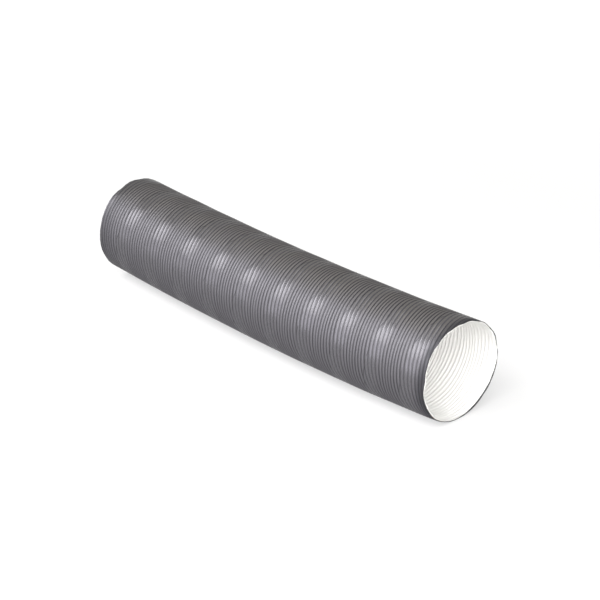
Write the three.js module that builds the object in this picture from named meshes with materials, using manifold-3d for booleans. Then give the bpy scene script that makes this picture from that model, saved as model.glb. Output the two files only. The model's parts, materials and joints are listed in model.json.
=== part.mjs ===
// Flexible air duct: a cut length of hot-air ducting, wound from four strips and ribbed.
//
// Frame, in millimetres: +Z up, the duct lies on Z = 0, its chord runs along X with the open
// mouth at +X, and the origin is the middle of the footprint. The duct curves towards +Y.
//
// The plies are nested tubes round one curved axis. The ribs are rolled into the wound wall, so
// they run round it as a right-handed screw of several starts, while the strip itself is wound
// left-handed. Where the strip laps over itself the wall is thicker, and there the ribs stay
// wider and shallower than on the single wall between two laps.

import * as THREE from "three";
import { mergeVertices } from "three/addons/utils/BufferGeometryUtils.js";
import Module from "manifold-3d";

// Driving dimensions.
const LENGTH = 362; // along the curved axis
const BORE_DIAMETER = 75; // the size of spigot that the duct slips over
const LINER_THICKNESS = 0.25;
const KRAFT_THICKNESS = 0.2;
const FOIL_THICKNESS = 0.1;
const JACKET_THICKNESS = 0.25; // the outer ply at the bottom of a groove
const GLUE_LINE = 0.1; // between one ply and the next
const RIB_HEIGHT = 0.9; // crest over groove on the single wall
const LAP_RIB_HEIGHT = 0.45; // crest over groove where the strip laps
const FLAT_DEPTH = 0.5; // pressed flat along the line that the duct lies on

// How the strip is wound and ribbed.
const STRIP_LEAD = 34.9; // along the axis for one turn of the strip
const RIBS_PER_TURN = 11; // ribs in one strip lead
const RIB_STARTS = 8; // ribs side by side in the rolled screw
const DRAWN_OUT = 0.18; // how much closer the ribs lie at the mouth than at the tail
const LAP_WIDENING = 0.15; // how much wider the ribs are in the middle of a lap
const LAP_PHASE = 0.31; // where the lap lies on the turn

// How the duct is bent and cut.
const BEND = THREE.MathUtils.degToRad(9.3);
const BEND_EASE = THREE.MathUtils.degToRad(5.8); // more of the bend lies near the mouth
const MOUTH_SKEW = THREE.MathUtils.degToRad(6.2); // the mouth is cut facing a little to -Y
const MOUTH_LEAN = THREE.MathUtils.degToRad(1.1); // its top reaches out a little
const TAIL_LEAN = THREE.MathUtils.degToRad(2); // and so does the top of the tail

// How finely the curved faces are divided.
const SIDES = 14; // flats round the duct, one of them underneath
const RIBS_PER_RING = 5; // ribs between two rings of a smooth bore
const AXIS_STEPS = 400;

// Radii to the middle of a flat, from the bore outwards.
const linerInside = BORE_DIAMETER / 2;
const linerOutside = linerInside + LINER_THICKNESS;
const kraftInside = linerOutside + GLUE_LINE;
const kraftOutside = kraftInside + KRAFT_THICKNESS;
const foilInside = kraftOutside + GLUE_LINE;
const foilOutside = foilInside + FOIL_THICKNESS;
const jacketInside = foilOutside + GLUE_LINE;
const grooveRadius = jacketInside + JACKET_THICKNESS;
const crestRadius = grooveRadius + RIB_HEIGHT;

const axisHeight = crestRadius - FLAT_DEPTH;
const ribPitch = STRIP_LEAD / RIBS_PER_TURN;
const flatToCorner = 1 / Math.cos(Math.PI / SIDES);

// The plies are made too long at both ends, and the two cuts then take the rest off.
const skewReach = Math.tan(Math.abs(MOUTH_SKEW) + Math.max(Math.abs(MOUTH_LEAN), Math.abs(TAIL_LEAN)));
const allowance = crestRadius * flatToCorner * skewReach + 2 * ribPitch;

const wasm = await Module();
wasm.setup();

// ---------------------------------------------------------------- the curved axis

// Share of the length from the middle, -0.5 at the tail to 0.5 at the mouth.
function shareAt(distance) {
  return distance / LENGTH - 0.5;
}

// Heading of the axis, turning to +Y on the way to the mouth. Its mean is zero, so that the chord
// lies along X.
function headingAt(distance) {
  const share = shareAt(Math.min(Math.max(distance, 0), LENGTH));
  return BEND * share + BEND_EASE * (share * share - 1 / 12);
}

// The axis as a row of points one step apart, with straight allowances at both ends.
const axisStep = (LENGTH + 2 * allowance) / AXIS_STEPS;
const axisPoints = [new THREE.Vector3(0, 0, axisHeight)];
for (let i = 0; i < AXIS_STEPS; i += 1) {
  const heading = headingAt(-allowance + (i + 0.5) * axisStep);
  const stride = new THREE.Vector3(Math.cos(heading), Math.sin(heading), 0);
  axisPoints.push(axisPoints[i].clone().addScaledVector(stride, axisStep));
}

// Point, forward direction and left direction of the axis at a distance from the tail.
function axisAt(distance) {
  const steps = (distance + allowance) / axisStep;
  const index = Math.min(Math.max(Math.floor(steps), 0), AXIS_STEPS - 1);
  const heading = headingAt(distance);
  return {
    point: axisPoints[index].clone().lerp(axisPoints[index + 1], steps - index),
    forward: new THREE.Vector3(Math.cos(heading), Math.sin(heading), 0),
    left: new THREE.Vector3(-Math.sin(heading), Math.cos(heading), 0),
  };
}

// Angle of a corner of the section, which is 0 at +Y and grows over the top. The first and the
// last corner are the two ends of the flat underneath.
function cornerAngle(column) {
  return ((column + 0.5) / SIDES) * 2 * Math.PI - Math.PI / 2;
}

function surfacePoint(distance, column, flatRadius) {
  const place = axisAt(distance);
  const angle = cornerAngle(column);
  const cornerRadius = flatRadius * flatToCorner;
  const point = place.point.addScaledVector(place.left, cornerRadius * Math.cos(angle));
  point.z += cornerRadius * Math.sin(angle);
  return point;
}

// ---------------------------------------------------------------- the winding

// Strip turns from the middle of the duct become a distance from the tail. The turns lie closer
// together towards the mouth, at a rate that changes evenly along the duct.
function distanceOfTurns(turns) {
  const reach = (turns * STRIP_LEAD) / LENGTH;
  const share = DRAWN_OUT === 0 ? reach : (Math.sqrt(1 + 2 * DRAWN_OUT * reach) - 1) / DRAWN_OUT;
  return (share + 0.5) * LENGTH;
}

// Angle across the strip at a place on the wall: 0 in the middle of a lap, and a whole turn from
// one lap to the next. The strip climbs the other way round from the ribs.
function acrossStrip(turns, angle) {
  return 2 * Math.PI * (turns - LAP_PHASE) + angle;
}

// Corner of the ribbed face: even rows are crests and odd rows are grooves. Beyond the allowance
// every row ends on one plain ring.
function ribbedPoint(row, column) {
  const angle = cornerAngle(column);
  const ribs = row / 2 + (RIB_STARTS * angle) / (2 * Math.PI);
  const turns = ribs / RIBS_PER_TURN;
  const across = acrossStrip(turns, angle);
  const widening = (LAP_WIDENING * Math.sin(across)) / (2 * Math.PI);
  const distance = distanceOfTurns(turns + widening);
  if (distance <= -allowance) return surfacePoint(-allowance, column, grooveRadius);
  if (distance >= LENGTH + allowance) return surfacePoint(LENGTH + allowance, column, grooveRadius);
  const lap = THREE.MathUtils.smoothstep(Math.cos(across), -0.2, 0.8);
  const height = THREE.MathUtils.lerp(RIB_HEIGHT, LAP_RIB_HEIGHT, lap);
  const isCrest = row % 2 === 0;
  return surfacePoint(distance, column, isCrest ? crestRadius : crestRadius - height);
}

// ---------------------------------------------------------------- faces

// Collects triangles and leaves out those whose corners have run together.
class Skin {
  constructor() {
    this.corners = [];
  }

  triangle(a, b, c) {
    const least = 1e-6;
    if (a.distanceTo(b) < least || b.distanceTo(c) < least || c.distanceTo(a) < least) return;
    for (const corner of [a, b, c]) this.corners.push(corner.x, corner.y, corner.z);
  }

  quad(a, b, c, d) {
    this.triangle(a, b, c);
    this.triangle(a, c, d);
  }

  solid() {
    const position = new THREE.Float32BufferAttribute(this.corners, 3);
    return toSolid(new THREE.BufferGeometry().setAttribute("position", position));
  }
}

function toSolid(geometry) {
  const merged = mergeVertices(geometry, 1e-4);
  const vertProperties = new Float32Array(merged.attributes.position.array);
  const triVerts = new Uint32Array(merged.index.array);
  return new wasm.Manifold(new wasm.Mesh({ numProp: 3, vertProperties, triVerts }));
}

function toGeometry(solid) {
  const mesh = solid.getMesh();
  const corners = new Float32Array(mesh.numVert * 3);
  for (let i = 0; i < mesh.numVert; i += 1) {
    for (let k = 0; k < 3; k += 1) corners[3 * i + k] = mesh.vertProperties[mesh.numProp * i + k];
  }
  const geometry = new THREE.BufferGeometry();
  geometry.setAttribute("position", new THREE.BufferAttribute(corners, 3));
  geometry.setIndex(new THREE.BufferAttribute(new Uint32Array(mesh.triVerts), 1));
  geometry.computeVertexNormals();
  return geometry;
}

// Rings of a smooth face, a few ribs apart, from one end of the allowance to the other.
const ringCount = Math.max(2, Math.round(LENGTH / (RIBS_PER_RING * ribPitch)));

function smoothPoint(ring, column, flatRadius) {
  const distance = -allowance + (ring / ringCount) * (LENGTH + 2 * allowance);
  return surfacePoint(distance, column, flatRadius);
}

// A smooth face that looks outwards, or with inwards set, one that looks at the axis.
function addSmoothFace(skin, flatRadius, inwards) {
  for (let ring = 0; ring < ringCount; ring += 1) {
    for (let column = 0; column < SIDES; column += 1) {
      const a = smoothPoint(ring, column, flatRadius);
      const b = smoothPoint(ring + 1, column, flatRadius);
      const c = smoothPoint(ring + 1, column + 1, flatRadius);
      const d = smoothPoint(ring, column + 1, flatRadius);
      if (inwards) skin.quad(a, b, c, d);
      else skin.quad(d, c, b, a);
    }
  }
}

// The flat rings that close a tube beyond both cuts.
function addEnds(skin, insideRadius, outsideRadius) {
  for (let column = 0; column < SIDES; column += 1) {
    for (const [ring, atTail] of [[0, true], [ringCount, false]]) {
      const a = smoothPoint(ring, column, insideRadius);
      const b = smoothPoint(ring, column, outsideRadius);
      const c = smoothPoint(ring, column + 1, outsideRadius);
      const d = smoothPoint(ring, column + 1, insideRadius);
      if (atTail) skin.quad(d, c, b, a);
      else skin.quad(a, b, c, d);
    }
  }
}

// The ribbed face. A rib that has gone once round meets the rib as many places on as the screw
// has starts.
function addRibbedFace(skin) {
  const turnsEachWay = (LENGTH * (0.5 + DRAWN_OUT / 8)) / STRIP_LEAD + 1;
  const reach = turnsEachWay * RIBS_PER_TURN + RIB_STARTS + Math.ceil(allowance / ribPitch);
  const lastRow = 2 * Math.ceil(reach);
  const corner = (row, column) =>
    column < SIDES ? ribbedPoint(row, column) : ribbedPoint(row + 2 * RIB_STARTS, 0);
  for (let row = -lastRow; row < lastRow; row += 1) {
    for (let column = 0; column < SIDES; column += 1) {
      const a = corner(row, column);
      const b = corner(row + 1, column);
      const c = corner(row + 1, column + 1);
      const d = corner(row, column + 1);
      skin.quad(d, c, b, a);
    }
  }
}

// ---------------------------------------------------------------- the cuts

// The room between the two end cuts and above the surface that the duct lies on.
function cuttingBlock() {
  const block = new THREE.BoxGeometry(1, 1, 1);
  const position = block.getAttribute("position");
  const halfWidth = 2 * crestRadius + LENGTH / 8;
  const top = 3 * crestRadius;
  for (let i = 0; i < position.count; i += 1) {
    const atMouth = position.getX(i) > 0;
    const side = position.getY(i) > 0 ? halfWidth : -halfWidth;
    const height = position.getZ(i) > 0 ? top : 0;
    const end = axisAt(atMouth ? LENGTH : 0);
    const lean = atMouth ? Math.tan(MOUTH_LEAN) : -Math.tan(TAIL_LEAN);
    const skew = atMouth ? Math.tan(MOUTH_SKEW) : 0;
    const out = skew * side + lean * (height - axisHeight);
    const corner = end.point.addScaledVector(end.left, side).addScaledVector(end.forward, out);
    position.setXYZ(i, corner.x, corner.y, height);
  }
  block.deleteAttribute("normal");
  block.deleteAttribute("uv");
  return toSolid(block);
}

const block = cuttingBlock();

// ---------------------------------------------------------------- the plies

function plainPly(insideRadius, outsideRadius) {
  const skin = new Skin();
  addSmoothFace(skin, outsideRadius, false);
  addSmoothFace(skin, insideRadius, true);
  addEnds(skin, insideRadius, outsideRadius);
  return toGeometry(skin.solid().intersect(block));
}

function ribbedPly(insideRadius) {
  const skin = new Skin();
  addRibbedFace(skin);
  addSmoothFace(skin, insideRadius, true);
  addEnds(skin, insideRadius, grooveRadius);
  return toGeometry(skin.solid().intersect(block));
}

const coatedPaper = new THREE.MeshStandardMaterial({
  color: 0x6f6f73,
  roughness: 0.5,
  metalness: 0.1,
});
const foil = new THREE.MeshStandardMaterial({ color: 0xc3c6c9, roughness: 0.3, metalness: 0.9 });
const kraftPaper = new THREE.MeshStandardMaterial({
  color: 0xa98a5f,
  roughness: 0.9,
  metalness: 0,
});
const whitePaper = new THREE.MeshStandardMaterial({
  color: 0xf3f2ec,
  roughness: 0.8,
  metalness: 0,
});

function named(name, geometry, material) {
  const mesh = new THREE.Mesh(geometry, material);
  mesh.name = name;
  return mesh;
}

const duct = new THREE.Group();
duct.add(
  named("outer_jacket", ribbedPly(jacketInside), coatedPaper),
  named("foil_ply", plainPly(foilInside, foilOutside), foil),
  named("kraft_ply", plainPly(kraftInside, kraftOutside), kraftPaper),
  named("inner_liner", plainPly(linerInside, linerOutside), whitePaper),
);

// The origin goes to the middle of the footprint, on the surface that the duct lies on.
const box = new THREE.Box3().setFromObject(duct, true);
const middle = box.getCenter(new THREE.Vector3());
for (const ply of duct.children) ply.position.set(-middle.x, -middle.y, -box.min.z);

export default duct;
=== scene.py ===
"""Flexible air duct: a cut length of wound and ribbed hot-air ducting, lying on a pale floor.

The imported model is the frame. Each of its four plies is dressed by a fuller one, a thin shell
that follows the ribs of the wound wall on both of its faces. All sizes are in metres. The wall
is first made straight, along +X from the tail, cut at both ends, and then bent like the duct.
Angles round the duct are 0 at +Y and grow over the top.
"""

import json
import logging
import math
from dataclasses import dataclass
from enum import Enum
from typing import Any

import bmesh
import bpy
import numpy as np
from mathutils import Matrix, Vector

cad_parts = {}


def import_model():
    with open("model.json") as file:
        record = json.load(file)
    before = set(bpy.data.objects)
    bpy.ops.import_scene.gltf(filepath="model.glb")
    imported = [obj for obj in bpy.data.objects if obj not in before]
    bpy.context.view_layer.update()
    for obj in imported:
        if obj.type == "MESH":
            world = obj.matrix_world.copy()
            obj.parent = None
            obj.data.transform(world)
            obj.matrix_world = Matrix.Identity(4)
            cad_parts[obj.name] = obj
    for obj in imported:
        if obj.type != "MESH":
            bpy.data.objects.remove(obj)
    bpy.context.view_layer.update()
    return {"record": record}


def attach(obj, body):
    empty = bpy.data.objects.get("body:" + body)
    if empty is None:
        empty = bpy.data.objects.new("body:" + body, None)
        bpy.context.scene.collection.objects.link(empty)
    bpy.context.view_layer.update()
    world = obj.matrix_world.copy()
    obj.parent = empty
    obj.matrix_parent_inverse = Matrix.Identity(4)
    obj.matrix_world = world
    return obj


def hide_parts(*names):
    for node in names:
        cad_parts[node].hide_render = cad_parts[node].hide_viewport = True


Colour = tuple[float, float, float, float]
Triple = tuple[float, float, float]
Range = tuple[float, float]
Mount = dict[str, Any]

LOG = logging.getLogger("duct")
TAIL_MOUNT = "tail_end"
UNROLLED = "unrolled"  # the UV map of the wall: along the duct, and round it
SEEN_RAYS = ("Is Camera Ray", "Is Glossy Ray", "Is Transmission Ray")
MM = 0.001
TURN = 2 * math.pi
TOP = math.pi / 2
MERGE_DISTANCE = 0.01 * MM
CUT_TOLERANCE = 0.0001 * MM
SMALL_WAVES = (7, 11, 17, 26)  # waves round a cut edge that make it ragged
SOFT, FINE = 3.0, 4.0  # octaves of noise
MIX_SHARE, MIX_LOW, MIX_HIGH, MIX_COLOUR = 0, 6, 7, 2  # sockets of a node that mixes colours
WHITE: Colour = (1.0, 1.0, 1.0, 1.0)
BLACK: Colour = (0.0, 0.0, 0.0, 1.0)
NEUTRAL_LIGHT: Triple = (1.0, 1.0, 1.0)
COOL_LIGHT: Triple = (0.96, 0.95, 1.0)


class Face(Enum):
    """The faces of a ply, in the order of its materials."""

    OUTSIDE = 0
    RIM = 1
    INSIDE = 2


class Mark(Enum):
    """The numbers that a ply keeps for each vertex, which its finishes read."""

    LAP = "lap"
    # Painted shade at the pressed rim of the mouth, and a darker flattened tail.
    PRESSED = "pressed"


# ---- small helpers


def smoothstep(value: np.ndarray, low: float, high: float) -> np.ndarray:
    """Rises smoothly from 0 at low to 1 at high, which may lie below low for a fall."""
    share = np.clip((value - low) / (high - low), 0.0, 1.0)
    return share * share * (3.0 - 2.0 * share)


def read_places(mesh: bpy.types.Mesh) -> np.ndarray:
    """Reads the places of a mesh's vertices.

    Args:
        mesh: The mesh.

    Returns:
        One row of x, y and z for each vertex.
    """
    flat = np.empty(3 * len(mesh.vertices), dtype=np.float32)
    mesh.vertices.foreach_get("co", flat)
    return flat.reshape(-1, 3).astype(np.float64)


def write_places(mesh: bpy.types.Mesh, places: np.ndarray) -> None:
    """Moves the vertices of a mesh to rows of x, y and z."""
    mesh.vertices.foreach_set("co", places.astype(np.float32).ravel())
    mesh.update()


def write_mark(mesh: bpy.types.Mesh, mark: Mark, numbers: np.ndarray) -> None:
    """Keeps one number for each vertex, under a name that a material can read."""
    attribute = mesh.attributes.new(mark.value, "FLOAT", "POINT")
    attribute.data.foreach_set("value", numbers.astype(np.float32))


# ---- the shape of the duct


@dataclass(frozen=True)
class Unevenness:
    """Seeded smooth noise on the wall, which runs on unbroken where a rib has gone once round.

    Args:
        seed: Seed of the draw.
        ribs_per_cell: Ribs between two drawn numbers. The screw's starts are a multiple of it.
        cells_round: Drawn numbers round the duct.
        rows: Drawn numbers along the duct.
    """

    seed: int
    ribs_per_cell: int
    cells_round: int
    rows: int = 512

    def at(self, ribs: np.ndarray, angle: np.ndarray, starts: int) -> np.ndarray:
        """Reads the noise.

        Args:
            ribs: Rib count of each place.
            angle: Angle of each place round the duct, from a quarter turn below 0.
            starts: Starts of the rib screw.

        Returns:
            Numbers from 0 to 1.
        """
        draw = np.random.default_rng(self.seed)
        table = draw.uniform(0.0, 1.0, (self.rows, self.cells_round))
        along = ribs / self.ribs_per_cell
        around = (angle / TURN + 0.25) * self.cells_round
        row, column = np.floor(along).astype(int), np.floor(around).astype(int)
        row_share = smoothstep(along - row, 0.0, 1.0)
        column_share = smoothstep(around - column, 0.0, 1.0)

        def corner(row: np.ndarray, column: np.ndarray) -> np.ndarray:
            """The drawn number of a cell's corner."""
            shift = column // self.cells_round * starts // self.ribs_per_cell
            return table[(row + shift) % self.rows, column % self.cells_round]

        def side(row: np.ndarray) -> np.ndarray:
            """The eased number between the two corners of one row."""
            low, high = corner(row, column), corner(row, column + 1)
            return low * (1 - column_share) + high * column_share

        return side(row) * (1 - row_share) + side(row + 1) * row_share


@dataclass(frozen=True)
class Axis:
    """The curved line through the middle of the duct, from the tail to the mouth.

    Args:
        length: Its length between the two cuts.
        height: Its height above the floor.
        bend: How far it turns from end to end.
        bend_ease: How much more of the bend lies near the mouth.
        allowance: Straight length beyond either cut.
        steps: Steps in which its track is added up.
    """

    length: float = 362 * MM
    height: float = 39 * MM
    bend: float = math.radians(9.3)
    bend_ease: float = math.radians(5.8)
    allowance: float = 16 * MM
    steps: int = 400

    def heading(self, distance: np.ndarray) -> np.ndarray:
        """Heading at distances from the tail, which turns to +Y on the way to the mouth.

        Args:
            distance: Distances from the tail.

        Returns:
            Angles from +X, with a mean of zero.
        """
        share = np.clip(distance, 0.0, self.length) / self.length - 0.5
        mean_square = 1 / 12
        return self.bend * share + self.bend_ease * (share * share - mean_square)

    def track(self) -> tuple[np.ndarray, np.ndarray, np.ndarray]:
        """Steps along the axis.

        Returns:
            Distances from the tail, and the x and y that belong to them, from the tail's own.
        """
        distance = np.linspace(-self.allowance, self.length + self.allowance, self.steps + 1)
        stride = distance[1] - distance[0]
        heading = self.heading((distance[:-1] + distance[1:]) / 2)
        x = np.concatenate([[0.0], np.cumsum(np.cos(heading) * stride)])
        y = np.concatenate([[0.0], np.cumsum(np.sin(heading) * stride)])
        return distance, x - np.interp(0.0, distance, x), y - np.interp(0.0, distance, y)


@dataclass(frozen=True)
class Placement:
    """Where the axis starts in the frame.

    Args:
        axis: The axis.
        tail_x: X of the axis at the tail cut.
        tail_y: Y of the axis at the tail cut.
    """

    axis: Axis
    tail_x: float
    tail_y: float

    @classmethod
    def in_frame(cls, axis: Axis, tail_cut: Mount) -> "Placement":
        """Places the axis by the frame, whose origin is the middle of the footprint.

        Args:
            axis: The axis.
            tail_cut: The record's mount on the tail's cut face, which the axis meets.

        Returns:
            The placement.
        """
        _, _, y = axis.track()
        tail_y = -(y.min() + y.max()) / 2
        point, normal = Vector(tail_cut["pos_m"]), Vector(tail_cut["axis"])
        across = normal.y * (tail_y - point.y) + normal.z * (axis.height - point.z)
        return cls(axis, point.x - across / normal.x, tail_y)

    def bend(self, straight: np.ndarray) -> np.ndarray:
        """Takes places of the straight duct to their places in the frame.

        Args:
            straight: Rows of the distance from the tail, and y and z from the axis.

        Returns:
            Rows of x, y and z.
        """
        distance, x, y = self.axis.track()
        heading = self.axis.heading(straight[:, 0])
        axis_x = np.interp(straight[:, 0], distance, x) + self.tail_x
        axis_y = np.interp(straight[:, 0], distance, y) + self.tail_y
        frame_x = axis_x - np.sin(heading) * straight[:, 1]
        frame_y = axis_y + np.cos(heading) * straight[:, 1]
        return np.column_stack([frame_x, frame_y, self.axis.height + straight[:, 2]])

    def point(self, distance: float) -> Vector:
        """The place of the axis at one distance from the tail."""
        return Vector(self.bend(np.array([[distance, 0.0, 0.0]]))[0])


@dataclass(frozen=True)
class Wave:
    """One bulge or dip of a cut edge.

    Args:
        height: How far it reaches out, below zero for a dip.
        middle: Its angle round the duct in degrees.
        width: Half of its breadth in degrees.
    """

    height: float
    middle: float
    width: float

    def at(self, angle: np.ndarray) -> np.ndarray:
        """How far the edge reaches out at angles round the duct."""
        off = np.abs((angle - math.radians(self.middle) + math.pi) % TURN - math.pi)
        return self.height * smoothstep(off, math.radians(self.width), 0.0)


@dataclass(frozen=True)
class Cut:
    """One cut end: the tilt of its plane and the way its edge strays from it.

    Args:
        skew: How far the cut turns, so that the +Y side reaches out.
        lean: How far the cut leans, so that the top reaches out.
        waves: The edge's bulges and dips.
        ragged: How far the edge strays in small waves.
        pinch: How much narrower the wall is at its very edge.
        reach: Length of wall that the pinch takes up.
    """

    skew: float
    lean: float
    waves: tuple[Wave, ...]
    ragged: float
    pinch: float = 0.0
    reach: float = 10 * MM

    def tilt(self, y: np.ndarray, z: np.ndarray) -> np.ndarray:
        """How far the plane of the cut lies beyond the end of the axis, at y and z from it."""
        return y * math.tan(self.skew) + z * math.tan(self.lean)

    def narrowing(self, inland: np.ndarray) -> np.ndarray:
        """What the radius loses at distances from the cut."""
        return self.pinch * smoothstep(inland, self.reach, 0.0)

    def strays(
        self, angle: np.ndarray, small: np.ndarray, own: tuple[Wave, ...] = ()
    ) -> np.ndarray:
        """How far the edge, with small waves and a ply's own, lies beyond the cut's plane."""
        return sum(wave.at(angle) for wave in self.waves + own) + self.ragged * small


@dataclass(frozen=True)
class PlyEdge:
    """How one ply's cut edges differ from those of the wall.

    Args:
        seed: Seed of its small waves.
        recess: How far it ends short of the cut.
        waves: Its own bulges and dips at the mouth.
    """

    seed: int
    recess: float = 0.0
    waves: tuple[Wave, ...] = ()


@dataclass(frozen=True)
class Wall:
    """The wound and ribbed wall, which every ply follows.

    Args:
        axis: The axis that it runs along.
        tail: The cut at the tail.
        mouth: The cut at the mouth.
        crest_radius: Radius over the ribs.
        rib_height: Crest over groove between two laps.
        lap_rib_height: The same in the middle of a lap.
        crest_breadth: Power of a rib's wave between two laps, below 1 for a broad crest.
        lap_crest_breadth: The same in the middle of a lap.
        strip_lead: Length along the axis of one turn of the strip.
        ribs_per_turn: Ribs in one strip lead.
        rib_starts: Ribs side by side in the rolled screw.
        drawn_out: How much closer the ribs lie at the mouth than at the tail.
        lap_widening: How much wider the ribs are in the middle of a lap.
        lap_phase: Where the widest ribs of a lap lie, in strip turns.
        lap_shift: Angle from there to the middle of the lap.
        lap_reach: Cosines of the angle from its middle where a lap starts and is full.
        samples_per_rib: Faces along the duct for each rib.
        columns: Faces round the duct.
        sunk_ribs: Greatest share of its height that a rib loses.
        dents: Depth of the deepest dent.
        stray_ribs: Greatest difference between the strays of two ribs.
        pressed_end: Length of the pressed rim of the mouth, which takes painted shade.
        pressed_full: How much of it takes the painted shade in full.
        flat_end: Length of the flattened ribs at the tail.
        flat_share: Share of its height that a rib loses at the very tail.
        tail_darkening: How dark the flattened tail is made with the same colour, against 1 at the
            mouth.
        handover: Shares of the length where the tail's strays end and the mouth's are full.
        rib_draw: Draw of the sunk ribs.
        spacing_draw: Draw of the stray ribs.
        dent_draw: Draw of the dents.
    """

    axis: Axis
    tail: Cut
    mouth: Cut
    crest_radius: float = 39.5 * MM
    rib_height: float = 0.64 * MM
    lap_rib_height: float = 0.6 * MM
    crest_breadth: float = 0.6
    lap_crest_breadth: float = 0.5
    strip_lead: float = 34.9 * MM
    ribs_per_turn: int = 11
    rib_starts: int = 8
    drawn_out: float = 0.18
    lap_widening: float = 0.15
    lap_phase: float = 0.31
    lap_shift: float = 0.2
    lap_reach: Range = (0.1, 0.95)
    samples_per_rib: int = 8
    columns: int = 50
    sunk_ribs: float = 0.4
    dents: float = 0.3 * MM
    stray_ribs: float = 0.3 * MM
    pressed_end: float = 9 * MM
    pressed_full: float = 1.8 * MM
    flat_end: float = 26 * MM
    flat_share: float = 0.85
    tail_darkening: float = 0.4
    handover: Range = (0.3, 0.7)
    rib_draw: Unevenness = Unevenness(seed=3, ribs_per_cell=1, cells_round=17)
    spacing_draw: Unevenness = Unevenness(seed=5, ribs_per_cell=1, cells_round=11)
    dent_draw: Unevenness = Unevenness(seed=8, ribs_per_cell=8, cells_round=7)

    def ribs_each_way(self) -> int:
        """Ribs from the middle of the duct to beyond either end, over the allowance."""
        longest = self.axis.length * (0.5 + self.drawn_out / 8) + self.axis.allowance
        return math.ceil((longest / self.strip_lead + 1) * self.ribs_per_turn) + self.rib_starts

    def distance(self, turns: np.ndarray) -> np.ndarray:
        """Distance from the tail of a number of strip turns, counted from the middle.

        Args:
            turns: Strip turns. They lie closer together towards the mouth.

        Returns:
            Distances from the tail.
        """
        reach = turns * self.strip_lead / self.axis.length
        reach = np.maximum(reach, -0.45 / self.drawn_out)  # keeps the root real past the ends
        share = (np.sqrt(1 + 2 * self.drawn_out * reach) - 1) / self.drawn_out
        return (share + 0.5) * self.axis.length

    def inland(self, straight: np.ndarray) -> tuple[np.ndarray, np.ndarray]:
        """Distances of places from the plane of the tail's cut and from the mouth's."""
        x, y, z = straight.T
        return x + self.tail.tilt(y, z), self.axis.length + self.mouth.tilt(y, z) - x

    def shape(
        self, ribs: np.ndarray, angle: np.ndarray, depth: float, filled: float
    ) -> tuple[np.ndarray, dict[Mark, np.ndarray]]:
        """Works out the straight wall at a depth below its outer face.

        Args:
            ribs: Rib count of each place, whole on a crest.
            angle: Angle of each place round the duct.
            depth: Depth below the outer face of the jacket.
            filled: How much of the hollow behind a crest is filled, 0 to 1.

        Returns:
            The places of the straight wall, and their marks: how far each lies in a lap, and how
            dark it is made: painted shade at the mouth's pressed rim, darker at the flattened
                tail.
        """
        turns = (ribs + self.rib_starts * angle / TURN) / self.ribs_per_turn
        across = TURN * (turns - self.lap_phase) + angle
        lap = smoothstep(np.cos(across - self.lap_shift), *self.lap_reach)
        distance = self.distance(turns + self.lap_widening * np.sin(across) / TURN)
        distance += self.stray_ribs * (self.spacing_draw.at(ribs, angle, self.rib_starts) - 0.5)
        rim = self.crest_radius * np.column_stack([np.cos(angle), np.sin(angle)])
        from_tail, from_mouth = self.inland(np.column_stack([distance, rim]))
        breadth = self.crest_breadth + (self.lap_crest_breadth - self.crest_breadth) * lap
        rise = ((1 + np.cos(TURN * ribs)) / 2) ** breadth
        height = self.rib_height + (self.lap_rib_height - self.rib_height) * lap
        height *= 1 - self.sunk_ribs * self.rib_draw.at(ribs, angle, self.rib_starts)
        flat = smoothstep(from_tail, self.flat_end, 0.0)
        height *= 1 - self.flat_share * flat
        radius = self.crest_radius - height * (1 - (1 - filled) * rise) - depth
        radius -= self.dents * self.dent_draw.at(ribs, angle, self.rib_starts)
        radius -= self.tail.narrowing(from_tail) + self.mouth.narrowing(from_mouth)
        z = np.maximum(radius * np.sin(angle), depth - self.axis.height)
        # Painted shade along the pressed rim of the mouth; the flattened tail is darkened too.
        pressed = smoothstep(from_mouth, self.pressed_end, self.pressed_full)
        marks = {Mark.LAP: lap, Mark.PRESSED: pressed + self.tail_darkening * flat}
        return np.column_stack([distance, radius * np.cos(angle), z]), marks

    def sheet(self, depth: float, filled: float, edge: PlyEdge) -> bmesh.types.BMesh:
        """Makes one open tube of the straight wall, cut at both ends.

        Args:
            depth: Depth below the outer face of the jacket.
            filled: How much of the hollow behind a crest is filled, 0 to 1.
            edge: How one ply's own edges differ from those of the wall.

        Returns:
            The tube, drawn out of shape by its edges' strays until they are given back, with its
            marks for each vertex and its UV of rib count and turn.
        """
        reach = self.ribs_each_way()
        bm = bmesh.new()
        bm.loops.layers.uv.new(UNROLLED)
        rows, columns = 2 * reach * self.samples_per_rib, self.columns
        bmesh.ops.create_grid(bm, x_segments=rows, y_segments=columns, size=1.0, calc_uvs=True)
        mesh = bpy.data.meshes.new("sheet")
        bm.to_mesh(mesh)
        bm.free()
        grid = read_places(mesh)
        ribs, angle = grid[:, 0] * reach, grid[:, 1] * math.pi + TOP
        places, marks = self.shape(ribs, angle, depth, filled)
        write_places(mesh, self.stray(places, edge, -1.0))
        for mark, numbers in marks.items():
            write_mark(mesh, mark, numbers)
        bm = bmesh.new()
        bm.from_mesh(mesh)
        bpy.data.meshes.remove(mesh)
        self.cut(bm)
        bmesh.ops.remove_doubles(bm, verts=bm.verts, dist=MERGE_DISTANCE)
        return bm

    def cut(self, bm: bmesh.types.BMesh) -> None:
        """Cuts the straight wall off at both ends.

        Args:
            bm: The wall, made too long.
        """
        mouth_out = Vector((1, -math.tan(self.mouth.skew), -math.tan(self.mouth.lean)))
        tail_out = Vector((-1, -math.tan(self.tail.skew), -math.tan(self.tail.lean)))
        for place, out in ((self.axis.length, mouth_out), (0.0, tail_out)):
            bmesh.ops.bisect_plane(
                bm,
                geom=bm.verts[:] + bm.edges[:] + bm.faces[:],
                dist=CUT_TOLERANCE,
                plane_co=(place, 0, 0),
                plane_no=out,
                clear_outer=True,
            )

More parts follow.
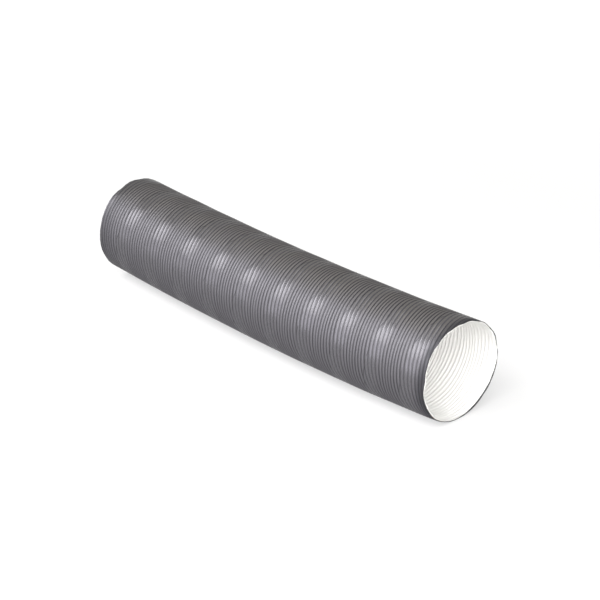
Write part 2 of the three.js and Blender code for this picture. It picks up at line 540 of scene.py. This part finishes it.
    def stray(self, straight: np.ndarray, edge: PlyEdge, share: float) -> np.ndarray:
        """Moves either half of the wall along the duct by what its cut edge strays.

        A flat cut between a move back and a move forth leaves a wavy edge on unmoved ribs.

        Args:
            straight: Places of the straight wall.
            edge: How one ply's own edges differ from those of the wall.
            share: 1 to move forth, or -1 to move back.

        Returns:
            The moved places.
        """
        angle = np.arctan2(straight[:, 2], straight[:, 1])
        starts = np.random.default_rng(edge.seed).uniform(0.0, TURN, len(SMALL_WAVES))
        waves = [np.sin(count * angle + start) for count, start in zip(SMALL_WAVES, starts)]
        small = sum(waves) / len(waves)
        at_tail = self.tail.strays(angle, small) - edge.recess
        at_mouth = self.mouth.strays(angle, small, edge.waves) - edge.recess
        low, high = (part * self.axis.length for part in self.handover)
        mouth_half = smoothstep(straight[:, 0], low, high)
        moved = straight.copy()
        moved[:, 0] += share * mouth_half * at_mouth
        moved[:, 0] -= share * (1 - mouth_half) * at_tail
        return moved

    def read_back(self, paint: "Paint") -> tuple["Signal", "Signal", "Signal"]:
        """Works out in a material where a place lies on the ribs and on the strip.

        Args:
            paint: The material, on a mesh that has the wall's UV map.

        Returns:
            The rib count, the strip turns from the widest ribs of a lap, and the angle.
        """
        along, around = paint.unrolled()
        ribs = (along * 2 - 1) * self.ribs_each_way()
        angle = (around * 2 - 0.5) * math.pi
        turns = (ribs + angle * (self.rib_starts / TURN)) * (1 / self.ribs_per_turn)
        return ribs, turns + angle * (1 / TURN) - self.lap_phase, angle


# ---- nodes


@dataclass(frozen=True)
class Signal:
    """A number that varies over a surface, with the arithmetic that the finishes use.

    Args:
        paint: The nodes that it belongs to.
        socket: The output that it comes from.
    """

    paint: "Paint"
    socket: bpy.types.NodeSocket

    def _math(self, operation: str, *values: Any) -> "Signal":
        """Adds one Math node on values in their order."""
        sockets = dict(enumerate(values))
        return self.paint.signal("ShaderNodeMath", {"operation": operation}, sockets)

    def __add__(self, other: Any) -> "Signal":
        """Sum."""
        return self._math("ADD", self, other)

    __radd__ = __add__

    def __sub__(self, other: Any) -> "Signal":
        """Difference."""
        return self._math("SUBTRACT", self, other)

    def __rsub__(self, other: Any) -> "Signal":
        """Difference from a number."""
        return self._math("SUBTRACT", other, self)

    def __mul__(self, other: Any) -> "Signal":
        """Product."""
        return self._math("MULTIPLY", self, other)

    __rmul__ = __mul__

    def cosine(self) -> "Signal":
        """Cosine of an angle."""
        return self._math("COSINE", self)

    def fraction(self) -> "Signal":
        """What is left over a whole number."""
        return self._math("FRACT", self)

    def eased(self, low: float, high: float) -> "Signal":
        """Smoothly 0 below low and 1 above high."""
        settings = {"interpolation_type": "SMOOTHSTEP"}
        sockets = {"Value": self, "From Min": low, "From Max": high}
        return self.paint.signal("ShaderNodeMapRange", settings, sockets)

    def band(self, rise: Range, fall: Range) -> "Signal":
        """1 between a smooth rise and a smooth fall, and 0 outside them."""
        return self.eased(*rise) - self.eased(*fall)


@dataclass(frozen=True)
class Flecks:
    """Size of a noise on the unrolled wall, which follows the ribs.

    Args:
        along: Flecks from one end of the UV map to the other.
        around: Flecks round the duct.
        detail: Octaves of finer flecks.
    """

    along: float
    around: float
    detail: float


class Paint:
    """The nodes of one material, or of the surroundings."""

    def __init__(self, owner: bpy.types.Material | bpy.types.World) -> None:
        """Starts with no nodes.

        Args:
            owner: The material or the world.
        """
        owner.use_nodes = True
        self.tree = owner.node_tree
        self.tree.nodes.clear()

    def node(
        self, kind: str, settings: dict[str, Any], sockets: dict[Any, Any]
    ) -> bpy.types.Node:
        """Adds one node.

        Args:
            kind: Type of the node.
            settings: Its properties.
            sockets: Values or links of its inputs, by name or number.

        Returns:
            The node.
        """
        node = self.tree.nodes.new(kind)
        for key, value in settings.items():
            setattr(node, key, value)
        for key, value in sockets.items():
            source = value.socket if isinstance(value, Signal) else value
            if isinstance(source, bpy.types.NodeSocket):
                self.tree.links.new(source, node.inputs[key])
            else:
                node.inputs[key].default_value = source
        return node

    def signal(
        self, kind: str, settings: dict[str, Any], sockets: dict[Any, Any], output: Any = 0
    ) -> Signal:
        """Adds one node, as Paint.node does, and returns one of its outputs as a signal."""
        return Signal(self, self.node(kind, settings, sockets).outputs[output])

    def blend(self, share: Any, low: Any, high: Any) -> bpy.types.NodeSocket:
        """Mixes two colours. A share of 0 gives the low one, and of 1 the high one."""
        sockets = {MIX_SHARE: share, MIX_LOW: low, MIX_HIGH: high}
        return self.node("ShaderNodeMix", {"data_type": "RGBA"}, sockets).outputs[MIX_COLOUR]

    def mark(self, mark: Mark) -> Signal:
        """Reads a number that the mesh keeps for each vertex."""
        return self.signal("ShaderNodeAttribute", {"attribute_name": mark.value}, {}, "Fac")

    def own_place(self) -> bpy.types.NodeSocket:
        """The object's own coordinates."""
        return self.node("ShaderNodeTexCoord", {}, {}).outputs["Object"]

    def unrolled_place(self) -> bpy.types.NodeSocket:
        """The place on the unrolled wall."""
        return self.node("ShaderNodeUVMap", {"uv_map": UNROLLED}, {}).outputs[0]

    def distance(self) -> Signal:
        """Distance from the object's origin."""
        settings, sockets = {"operation": "LENGTH"}, {0: self.own_place()}
        return self.signal("ShaderNodeVectorMath", settings, sockets, "Value")

    def unrolled(self) -> tuple[Signal, Signal]:
        """The place on the unrolled wall as two numbers: along the duct, and round it."""
        split = self.node("ShaderNodeSeparateXYZ", {}, {"Vector": self.unrolled_place()})
        return Signal(self, split.outputs[0]), Signal(self, split.outputs[1])

    def noise_at(
        self, place: bpy.types.NodeSocket, stretch: Triple, scale: float, detail: float
    ) -> Signal:
        """Noise at stretched coordinates.

        Args:
            place: The coordinates.
            stretch: Scale of each coordinate, below 1 for longer flecks.
            scale: Flecks in one unit.
            detail: Octaves of finer flecks.

        Returns:
            Numbers about 0.5.
        """
        mapped = self.node("ShaderNodeMapping", {}, {"Vector": place, "Scale": stretch})
        sockets = {"Vector": mapped.outputs[0], "Scale": scale, "Detail": detail}
        return self.signal("ShaderNodeTexNoise", {}, sockets)

    def noise(self, size: float, detail: float, stretch: Triple = (1.0, 1.0, 1.0)) -> Signal:
        """Noise on the object's own coordinates, with flecks of a width in metres."""
        return self.noise_at(self.own_place(), stretch, 1 / size, detail)

    def wall_noise(self, flecks: Flecks) -> Signal:
        """Noise on the unrolled wall."""
        stretch = (flecks.along, flecks.around, 1.0)
        return self.noise_at(self.unrolled_place(), stretch, 1.0, flecks.detail)

    def seen(self) -> Signal:
        """1 where the camera or a reflection looks, and 0 where only light is gathered."""
        path = self.node("ShaderNodeLightPath", {}, {})
        return sum(Signal(self, path.outputs[name]) for name in SEEN_RAYS)

    def surface(
        self, sockets: dict[str, Any], height: Signal | None = None, depth: float = 0.0
    ) -> None:
        """Ends the material in one shader.

        Args:
            sockets: Values or links of the shader's inputs.
            height: Relief of the surface, if it has one.
            depth: Height of the relief in metres.
        """
        if height is not None:
            relief = {"Height": height, "Distance": depth, "Strength": 1.0}
            bump = self.node("ShaderNodeBump", {}, relief)
            sockets = {**sockets, "Normal": bump.outputs[0]}
        shader = self.node("ShaderNodeBsdfPrincipled", {}, sockets)
        self.node("ShaderNodeOutputMaterial", {}, {"Surface": shader.outputs[0]})


# ---- finishes


@dataclass(frozen=True)
class Finish:
    """A finish, whose material is made once and shared by all faces that have it.

    Args:
        name: Name of the material.
    """

    name: str

    def material(self) -> bpy.types.Material:
        """Finds the finish's material, or makes it the first time.

        Returns:
            The material.
        """
        known = bpy.data.materials.get(self.name)
        if known is None:
            known = bpy.data.materials.new(self.name)
            self.paint(Paint(known))
        return known

    def paint(self, paint: Paint) -> None:
        """Adds the finish's nodes to an empty material."""
        raise NotImplementedError


@dataclass(frozen=True)
class CoatedPaper(Finish):
    """Dark grey coated paper with a satin sheen, smoother and glossier where the strip laps.

    Args:
        wall: The wall that it covers.
        crest: Colour of the crests.
        top_tint: Warmer colour of the crests towards the top.
        groove: Colour of the painted shade in the grooves, of the painted shadow line along the
            strip's edge, and of the dark specks of grain.
        worn: Colour where the crests are rubbed.
        pressed: Painted shade at the mouth's pressed rim, and the darker flattened tail.
        edge_tint: Tint of the sheen at a grazing look.
        metallic: How metallic it is.
        roughness: Roughness between two laps.
        lap_gloss: How much smoother a lap is.
        crinkle: Height of the relief.
        fibre: Width of a fibre.
        cloud: Width of the cloudy patches.
        creases: Noise of the crinkled relief.
        grain: Noise of the dark specks, and the range of it that darkens.
        rib_tones: Noise that makes the painted shade of one groove darker than that of the next.
        breaks: Noise that breaks up the painted shadow line along the strip's edge, and its
            range.
        strip_edge: Where the strip's edge lies, in strip turns.
        edge_step: Rise and fall of the relief past that edge, in strip turns.
        edge_shadow: Rise and fall of the painted shadow line past that edge, in strip turns.
        hatch: Strip turns at the middle of the band that stays crinkled in a lap.
        hatch_range: Cosines of the angle from its middle where that band starts and is full.
        groove_range: Heights on a rib where the painted groove shade is full and where it ends.
        top_range: Cosines of the angle from the top where the warmer crests and the deeper
            painted groove shade start and are full.
        rubbed: Ranges of the crests' fibres and of the cloudy patches that are rubbed.
    """

    wall: Wall
    crest: Colour = (0.13, 0.126, 0.137, 1)
    top_tint: Colour = (0.131, 0.122, 0.112, 1)
    groove: Colour = (0.024, 0.023, 0.026, 1)
    worn: Colour = (0.22, 0.215, 0.22, 1)
    pressed: Colour = (0.036, 0.036, 0.041, 1)
    edge_tint: Colour = (0.5, 0.5, 0.5, 1)
    metallic: float = 0.72
    roughness: float = 0.5
    lap_gloss: float = 0.25
    crinkle: float = 0.16 * MM
    fibre: float = 0.6 * MM
    cloud: float = 14 * MM
    creases: Flecks = Flecks(700.0, 230.0, 3.0)
    grain: tuple[Flecks, Range] = (Flecks(620.0, 230.0, 3.0), (0.5, 0.75))
    rib_tones: Flecks = Flecks(170.0, 4.0, 2.0)
    breaks: tuple[Flecks, Range] = (Flecks(160.0, 20.0, 1.0), (0.45, 0.6))
    strip_edge: float = 0.865
    edge_step: tuple[Range, Range] = ((0.0, 0.01), (0.05, 0.4))
    edge_shadow: tuple[Range, Range] = ((0.0, 0.006), (0.008, 0.018))
    hatch: float = 0.12
    hatch_range: Range = (0.55, 1.0)
    groove_range: Range = (0.0, 0.55)
    top_range: Range = (0.7, 1.0)
    rubbed: tuple[Range, Range] = ((0.45, 0.75), (0.4, 0.7))

    def paint(self, paint: Paint) -> None:
        """Adds the finish's nodes.

        Args:
            paint: The empty material.
        """
        ribs, strip, angle = self.wall.read_back(paint)
        lap, pressed = paint.mark(Mark.LAP), paint.mark(Mark.PRESSED)
        height = (ribs * TURN).cosine() * 0.5 + 0.5
        fibre = paint.noise(self.fibre, FINE)
        cloud = paint.noise(self.cloud, SOFT)
        past_edge = (strip - self.strip_edge).fraction()
        hatch = ((strip - self.hatch) * TURN).cosine().eased(*self.hatch_range)
        crinkled = 1 - 0.9 * lap * (1 - 0.6 * hatch)
        # Share of the way towards the top. It warms the crests and deepens the painted groove
        # shade.
        toward_top = (angle - TOP).cosine().eased(*self.top_range)

        # Painted shade in the grooves: full where the ribs dip, weaker in a lap, darker in some
        # grooves than in others, and deeper towards the top.
        groove_shade = (1 - 0.4 * lap) * (0.4 + 0.7 * paint.wall_noise(self.rib_tones) + 0.3 * toward_top)
        hollow = (1 - height.eased(*self.groove_range)) * groove_shade
        flecks, dark_range = self.grain
        grain = paint.wall_noise(flecks).eased(*dark_range) * (0.3 + 0.3 * hatch) * crinkled
        rubbed_fibres, rubbed_clouds = self.rubbed
        wear = (height * fibre).eased(*rubbed_fibres) * cloud.eased(*rubbed_clouds)
        flecks, whole_range = self.breaks
        # Painted shadow of the step at the strip's edge: a thin dark line, broken up by noise.
        line = past_edge.band(*self.edge_shadow) * paint.wall_noise(flecks).eased(*whole_range)
        colour: Any = self.crest
        for share, coat in (
            # painted groove shade
            (hollow, self.groove),
            (grain, self.groove),
            (height * toward_top * (0.4 + cloud), self.top_tint),
            (wear * 0.4, self.worn),
            # painted shadow line along the strip's edge
            (line, self.groove),
            # painted shade at the mouth's pressed rim, and a darker flattened tail
            (pressed * (0.3 + cloud), self.pressed),
        ):
            colour = paint.blend(share, colour, coat)

        creases = paint.wall_noise(self.creases) * (0.15 + 0.2 * hatch)
        relief = (creases + fibre * 0.2) * crinkled + past_edge.band(*self.edge_step) * 0.6
        sockets = {
            "Base Color": colour,
            "Metallic": self.metallic,
            "Roughness": self.roughness + 0.1 * (cloud - 0.5) - self.lap_gloss * lap,
            "Specular Tint": self.edge_tint,
        }
        paint.surface(sockets, relief, self.crinkle)


@dataclass(frozen=True)
class PlainPaper(Finish):
    """Uncoated or matt paper with soft fibres.

    Args:
        pale: Its paler colour.
        dark: Its darker colour.
        roughness: Roughness of its smoothest spots.
        ior: Index of refraction.
        relief: Height of the fibres.
        fibre: Width of a fibre.
        cloud: Width of the cloudy patches.
        tones: Range of the noise over which the dark colour turns into the pale one.
    """

    pale: Colour
    dark: Colour
    roughness: float = 0.85
    ior: float = 1.45
    relief: float = 0.05 * MM
    fibre: float = 0.8 * MM
    cloud: float = 20 * MM
    tones: Range = (0.3, 0.75)

    def paint(self, paint: Paint) -> None:
        """Adds the finish's nodes.

        Args:
            paint: The empty material.
        """
        fibre = paint.noise(self.fibre, FINE)
        cloud = paint.noise(self.cloud, SOFT)
        share = (fibre * 0.5 + cloud * 0.5).eased(*self.tones)
        sockets = {
            "Base Color": paint.blend(share, self.dark, self.pale),
            "Roughness": self.roughness - 0.1 * fibre,
            "IOR": self.ior,
        }
        paint.surface(sockets, fibre, self.relief)


@dataclass(frozen=True)
class Foil(Finish):
    """Thin rolled aluminium with faint rolling lines.

    Args:
        bright: Colour of the lines.
        dull: Colour between them.
        roughness: Least roughness.
        relief: Height of the lines.
        line: Width of a line.
        stretch: Scale of the lines, which run along X.
        tones: Range of the noise over which dull turns into bright.
    """

    bright: Colour = (0.8, 0.81, 0.82, 1)
    dull: Colour = (0.66, 0.67, 0.68, 1)
    roughness: float = 0.28
    relief: float = 0.02 * MM
    line: float = 1.5 * MM
    stretch: Triple = (0.05, 1.0, 1.0)
    tones: Range = (0.35, 0.7)

    def paint(self, paint: Paint) -> None:
        """Adds the finish's nodes.

        Args:
            paint: The empty material.
        """
        rolled = paint.noise(self.line, FINE, self.stretch)
        sockets = {
            "Base Color": paint.blend(rolled.eased(*self.tones), self.dull, self.bright),
            "Metallic": 1.0,
            "Roughness": self.roughness + 0.2 * rolled,
        }
        paint.surface(sockets, rolled, self.relief)


@dataclass(frozen=True)
class Ground(Finish):
    """Matt pale floor that looks white where no shadow falls, also where the lamps don't reach.

    Args:
        albedo: How much light it gives back.
        glow: Glow near the duct, which only the camera and reflections see.
        far_glow: The same beyond the lamps' reach.
        reach: Distances from the origin between which one glow turns into the other.
    """

    albedo: float = 0.4
    glow: float = 0.53
    far_glow: float = 0.8
    reach: Range = (0.27, 0.9)

    def paint(self, paint: Paint) -> None:
        """Adds the finish's nodes.

        Args:
            paint: The empty material.
        """
        away = paint.distance().eased(*self.reach)
        glow = paint.seen() * (away * (self.far_glow - self.glow) + self.glow)
        sockets = {
            "Base Color": (self.albedo, self.albedo, self.albedo, 1),
            "Roughness": 1.0,
            "Specular IOR Level": 0.0,
            "Emission Color": paint.blend(glow, BLACK, WHITE),
            "Emission Strength": 1.0,
        }
        paint.surface(sockets)


# ---- the plies


@dataclass(frozen=True)
class Ply:
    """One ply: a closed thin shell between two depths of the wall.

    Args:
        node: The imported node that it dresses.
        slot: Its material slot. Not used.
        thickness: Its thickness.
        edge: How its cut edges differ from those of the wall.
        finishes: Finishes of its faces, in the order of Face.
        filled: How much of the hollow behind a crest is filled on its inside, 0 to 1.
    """

    node: str
    slot: str
    thickness: float
    edge: PlyEdge
    finishes: tuple[Finish, Finish, Finish]
    filled: float = 0.0

    def build(self, wall: Wall, placement: Placement, depth: float) -> bpy.types.Object:
        """Makes the ply in its place.

        Args:
            wall: The wall that it follows.
            placement: Where the duct lies.
            depth: Depth of its outside below the outer face of the jacket.

        Returns:
            The ply's object.
        """
        bm = bmesh.new()
        for face, below, filled in (
            (Face.OUTSIDE, 0.0, 0.0),
            (Face.INSIDE, self.thickness, self.filled),
        ):
            sheet = wall.sheet(depth + below, filled, self.edge)
            self.orient(sheet, face)
            part = bpy.data.meshes.new("part")
            sheet.to_mesh(part)
            sheet.free()
            bm.from_mesh(part)
            bpy.data.meshes.remove(part)
        self.close(bm, wall.axis)
        mesh = bpy.data.meshes.new(self.node + "_look")
        bm.to_mesh(mesh)
        bm.free()
        write_places(mesh, placement.bend(wall.stray(read_places(mesh), self.edge, 1.0)))
        return self.dress(mesh)

    def orient(self, sheet: bmesh.types.BMesh, face: Face) -> None:
        """Turns the faces of a sheet outwards, or to the axis for an inside, and marks them.

        Args:
            sheet: One open tube.
            face: Which face of the ply it is.
        """
        sample = max(sheet.faces, key=lambda part: part.calc_center_median().z)
        looks_out = sample.normal.z > 0
        if looks_out != (face is Face.OUTSIDE):
            bmesh.ops.reverse_faces(sheet, faces=sheet.faces[:])
        for part in sheet.faces:
            part.material_index = face.value
            part.smooth = True

    def close(self, bm: bmesh.types.BMesh, axis: Axis) -> None:
        """Joins the inside and the outside of the ply at both cuts.

        Args:
            bm: Both open tubes.
            axis: The axis, which tells the ends apart.
        """
        rims = [edge for edge in bm.edges if edge.is_boundary]
        for edge in rims:
            edge.smooth = False
        for at_mouth in (False, True):
            rim = [edge for edge in rims if (edge.verts[0].co.x > axis.length / 2) == at_mouth]
            made = bmesh.ops.bridge_loops(bm, edges=rim)
            for part in made["faces"]:
                part.material_index = Face.RIM.value
                part.smooth = False
        bmesh.ops.recalc_face_normals(bm, faces=bm.faces)

    def dress(self, mesh: bpy.types.Mesh) -> bpy.types.Object:
        """Gives the ply its finishes and its place in the frame.

        Args:
            mesh: The ply's mesh.

        Returns:
            The ply's object.
        """
        for finish in self.finishes:
            mesh.materials.append(finish.material())
        piece = bpy.data.objects.new(self.node + "_look", mesh)
        bpy.context.scene.collection.objects.link(piece)
        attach(piece, "root")
        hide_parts(self.node)
        return piece


# ---- the studio


@dataclass(frozen=True)
class Softbox:
    """A round soft lamp that shines at a target.

    Args:
        name: Name of the lamp.
        direction: Direction from the target to it.
        width: Its width.
        radiance: How bright its face looks, where 1 is as bright as the white surroundings.
        colour: Its colour.
        distance: Its distance from the target.
    """

    name: str
    direction: Triple
    width: float
    radiance: float
    colour: Triple = NEUTRAL_LIGHT
    distance: float = 1.3

    def build(self, target: Vector) -> None:
        """Makes the lamp.

        Args:
            target: The point that it shines at.
        """
        lamp = bpy.data.lights.new(self.name, "AREA")
        lamp.shape = "DISK"
        lamp.size = self.width
        lamp.energy = self.radiance * (math.pi * self.width / 2) ** 2
        lamp.color = self.colour
        holder = bpy.data.objects.new(self.name, lamp)
        away = Vector(self.direction).normalized()
        holder.location = target + away * self.distance
        holder.rotation_euler = (-away).to_track_quat("-Z", "Y").to_euler()
        bpy.context.scene.collection.objects.link(holder)


@dataclass(frozen=True)
class Studio:
    """The pale floor, the soft lamps, the white surroundings and the camera.

    Args:
        azimuth: Angle of the camera from -Y towards +X.
        elevation: Angle of the camera above the floor.
        distance: Its distance from the target.
        lens: Its focal length in millimetres.
        sensor: Width of its sensor in millimetres.
        aim: How far the mouth lies to the right of the target, and beyond it, in its view.
        floor_size: Half of the floor's width.
        floor_gap: How far the floor lies below the duct.
        ambient: Strength of the surroundings as light.
        ambient_colour: Their colour as light.
        lamps: The lamps.
    """

    azimuth: float = math.radians(46.25)
    elevation: float = math.radians(25.93)
    distance: float = 1536 * MM
    lens: float = 120.0
    sensor: float = 36.0
    aim: tuple[float, float] = (115.2 * MM, -117.3 * MM)
    floor_size: float = 3.0
    floor_gap: float = 0.05 * MM
    ambient: float = 0.3
    ambient_colour: Colour = (1.0, 0.975, 0.94, 1)
    lamps: tuple[Softbox, ...] = (
        Softbox("key", (-0.65, -0.48, 0.59), 0.9, 2.65),
        Softbox("key_back", (-0.65, -0.4, 0.65), 0.4, 3.6),
        Softbox("above", (0.0, -0.72, 0.69), 0.7, 3.4),
        Softbox("above_left", (-0.35, -0.63, 0.69), 0.8, 2.5),
        Softbox("above_right", (0.4, -0.6, 0.69), 0.9, 3.9),
        Softbox("front", (0.0, -0.98, 0.18), 1.1, 2.55, COOL_LIGHT),
        Softbox("front_left", (-0.7, -0.7, 0.15), 0.9, 1.3, COOL_LIGHT),
        Softbox("right", (0.8, -0.5, 0.1), 1.0, 2.6),
        Softbox("right_high", (0.75, -0.35, 0.55), 0.9, 2.6),
        Softbox("mouth", (0.93, -0.32, 0.18), 0.8, 3.2),
        Softbox("top", (0.0, 0.0, 1.0), 0.9, 1.3),
    )

    def toward_camera(self) -> Vector:
        """Direction from the target to the camera."""
        ahead = Vector((0.0, -math.cos(self.elevation), math.sin(self.elevation)))
        return Matrix.Rotation(self.azimuth, 3, "Z") @ ahead

    def target(self, mouth: Vector) -> Vector:
        """The point that the camera looks at, level with the mouth."""
        turn = Matrix.Rotation(self.azimuth, 3, "Z")
        return mouth - turn @ Vector((*self.aim, 0.0))

    def make_camera(self, target: Vector) -> None:
        """Makes the camera.

        Args:
            target: The point that it looks at.
        """
        data = bpy.data.cameras.new("camera")
        data.lens = self.lens
        data.sensor_width = self.sensor
        camera = bpy.data.objects.new("camera", data)
        camera.location = target + self.toward_camera() * self.distance
        camera.rotation_euler = (-self.toward_camera()).to_track_quat("-Z", "Y").to_euler()
        bpy.context.scene.collection.objects.link(camera)
        bpy.context.scene.camera = camera

    def make_floor(self) -> None:
        """Makes the pale floor, a hair below the duct."""
        bm = bmesh.new()
        bmesh.ops.create_grid(bm, x_segments=1, y_segments=1, size=self.floor_size)
        bmesh.ops.translate(bm, verts=bm.verts, vec=(0, 0, -self.floor_gap))
        mesh = bpy.data.meshes.new("floor")
        bm.to_mesh(mesh)
        bm.free()
        floor = bpy.data.objects.new("floor", mesh)
        mesh.materials.append(Ground("floor").material())
        bpy.context.scene.collection.objects.link(floor)

    def make_world(self) -> None:
        """Makes the surroundings: white to look at, and a softer level as light."""
        world = bpy.data.worlds.new("studio")
        paint = Paint(world)
        as_light = {"Color": self.ambient_colour, "Strength": self.ambient}
        light = paint.node("ShaderNodeBackground", {}, as_light)
        shown = paint.node("ShaderNodeBackground", {}, {"Color": WHITE, "Strength": 1.0})
        sockets = {0: paint.seen(), 1: light.outputs[0], 2: shown.outputs[0]}
        mixed = paint.node("ShaderNodeMixShader", {}, sockets)
        paint.node("ShaderNodeOutputWorld", {}, {"Surface": mixed.outputs[0]})
        bpy.context.scene.world = world

    def build(self, mouth: Vector) -> None:
        """Makes the whole studio.

        Args:
            mouth: The place of the axis at the mouth.
        """
        target = self.target(mouth)
        self.make_camera(target)
        self.make_floor()
        self.make_world()
        for lamp in self.lamps:
            lamp.build(target)
        bpy.context.scene.view_settings.view_transform = "Standard"


# ---- the whole duct


@dataclass(frozen=True)
class Duct:
    """The duct: its wall and its four plies, from the outside in.

    Args:
        wall: The wall that the plies follow.
        placement: Where the duct lies.
        glue: Gap between one ply and the next.
        recess: How far the two hidden plies end short of the cut.
        liner_dip: Dip of the inner plies' edges at the mouth.
        liner_flecks: Small bulges of the liner's edge at the mouth.
        jacket_flecks: Small bulges of the jacket's edge at the mouth.
    """

    wall: Wall
    placement: Placement
    glue: float = 0.02 * MM
    recess: float = 0.6 * MM
    liner_dip: Wave = Wave(-1.2 * MM, -55, 58)
    liner_flecks: tuple[Wave, ...] = (
        Wave(0.4 * MM, 150, 7),
        Wave(0.5 * MM, 172, 8),
        Wave(0.6 * MM, 220, 7),
    )
    jacket_flecks: tuple[Wave, ...] = (
        Wave(0.3 * MM, 65, 7),
        Wave(0.4 * MM, 43, 6),
        Wave(0.4 * MM, 25, 6),
    )

    def plies(self) -> tuple[Ply, ...]:
        """Describes the plies.

        Returns:
            The plies, from the outside in.
        """
        coat = CoatedPaper("jacket_coat", self.wall)
        core = PlainPaper("jacket_core", (0.06, 0.06, 0.063, 1), (0.04, 0.04, 0.042, 1))
        foil = Foil("rolled_foil")
        kraft = PlainPaper("kraft", (0.55, 0.43, 0.29, 1), (0.42, 0.31, 0.2, 1))
        white = PlainPaper("liner_white", (0.91, 0.905, 0.89, 1), (0.88, 0.873, 0.85, 1))
        dip = (self.liner_dip,)
        jacket_edge = PlyEdge(0, waves=self.jacket_flecks)
        foil_edge = PlyEdge(1, self.recess, dip)
        kraft_edge = PlyEdge(2, self.recess, dip)
        liner_edge = PlyEdge(3, waves=dip + self.liner_flecks)
        return (
            Ply("outer_jacket", "jacket_paper", 0.25 * MM, jacket_edge, (coat, core, core)),
            Ply("foil_ply", "foil", 0.1 * MM, foil_edge, (foil, foil, foil)),
            Ply("kraft_ply", "kraft_paper", 0.2 * MM, kraft_edge, (kraft, kraft, kraft)),
            Ply("inner_liner", "liner_paper", 0.25 * MM, liner_edge, (white, white, white), 0.25),
        )

    def build(self) -> None:
        """Makes every ply, each below the one before it, and reports it."""
        depth = 0.0
        for ply in self.plies():
            piece = ply.build(self.wall, self.placement, depth)
            LOG.info("%s: %d faces for %s", piece.name, len(piece.data.polygons), ply.node)
            depth += ply.thickness + self.glue


TAIL_CUT = Cut(
    skew=0.0,
    lean=math.radians(2),
    waves=(
        Wave(1.9 * MM, 68, 17),
        Wave(1.0 * MM, 95, 14),
        Wave(-0.8 * MM, 112, 7),
        Wave(-1.3 * MM, 165, 42),
        Wave(1.7 * MM, 222, 16),
    ),
    ragged=0.25 * MM,
)
MOUTH_CUT = Cut(
    skew=math.radians(6.2),
    lean=math.radians(1.1),
    waves=(
        Wave(1.4 * MM, 212, 26),
        Wave(0.56 * MM, 174, 22),
        Wave(-1.5 * MM, 125, 55),
        Wave(-0.65 * MM, 48, 50),
    ),
    ragged=0.3 * MM,
    pinch=0.2 * MM,
)


def main() -> None:
    """Loads the frame and builds the duct and its studio around it."""
    logging.basicConfig(level=logging.INFO, format="%(name)s: %(message)s")
    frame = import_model()
    mounts = {mount["name"]: mount for mount in frame["record"]["mounts"]}
    axis = Axis()
    placement = Placement.in_frame(axis, mounts[TAIL_MOUNT])
    Duct(Wall(axis, TAIL_CUT, MOUTH_CUT), placement).build()
    Studio().build(placement.point(axis.length))


if __name__ == "__main__":
    main()
